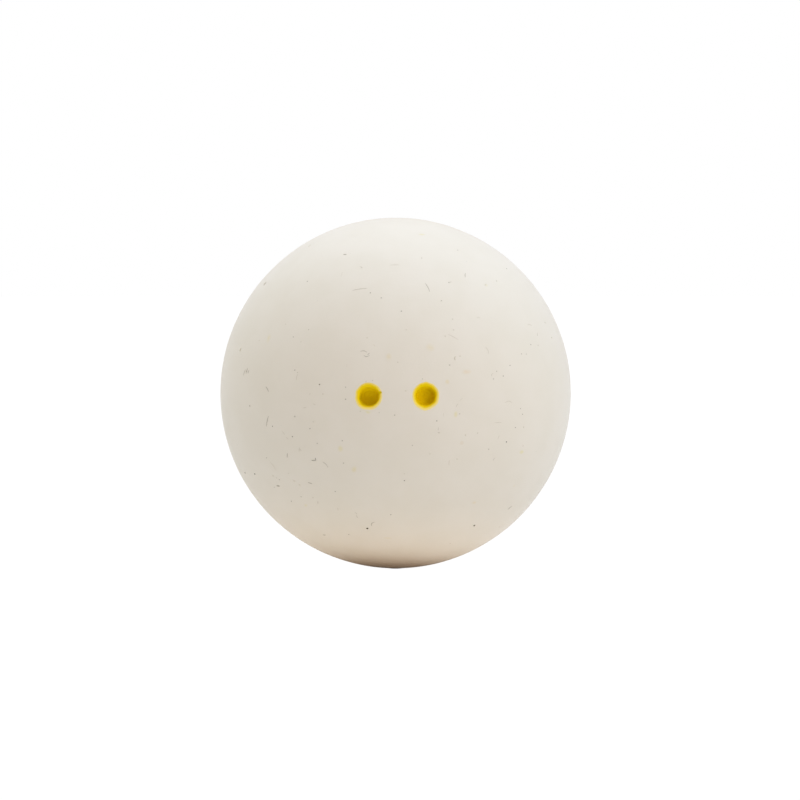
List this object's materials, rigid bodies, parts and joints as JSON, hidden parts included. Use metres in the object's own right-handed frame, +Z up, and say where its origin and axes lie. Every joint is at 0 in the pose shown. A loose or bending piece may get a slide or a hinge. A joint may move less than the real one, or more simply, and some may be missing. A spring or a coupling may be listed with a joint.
{
  "type": "squash ball",
  "caption": "Hollow rubber squash ball of cemented half shells, cream white, with painted dot recesses side by side on its front.",
  "frame": {"origin": "centre of the ball", "axes": "-Y through the front pole, midway between the dots; +Z up; +X to the right as the dots are seen; the seam lies in the XZ plane"},
  "size_m": [0.04, 0.04, 0.04],
  "materials": {
    "shell_rubber": "matte cream rubber, buffed after moulding",
    "rubber_cement": "cured rubber cement, satin",
    "dot_paint": "satin yellow paint"
  },
  "bodies": {
    "root": {"front_shell": "shell_rubber", "rear_shell": "shell_rubber", "seam_cement": "rubber_cement", "left_dot": "dot_paint", "right_dot": "dot_paint"}
  },
  "joints": []
}
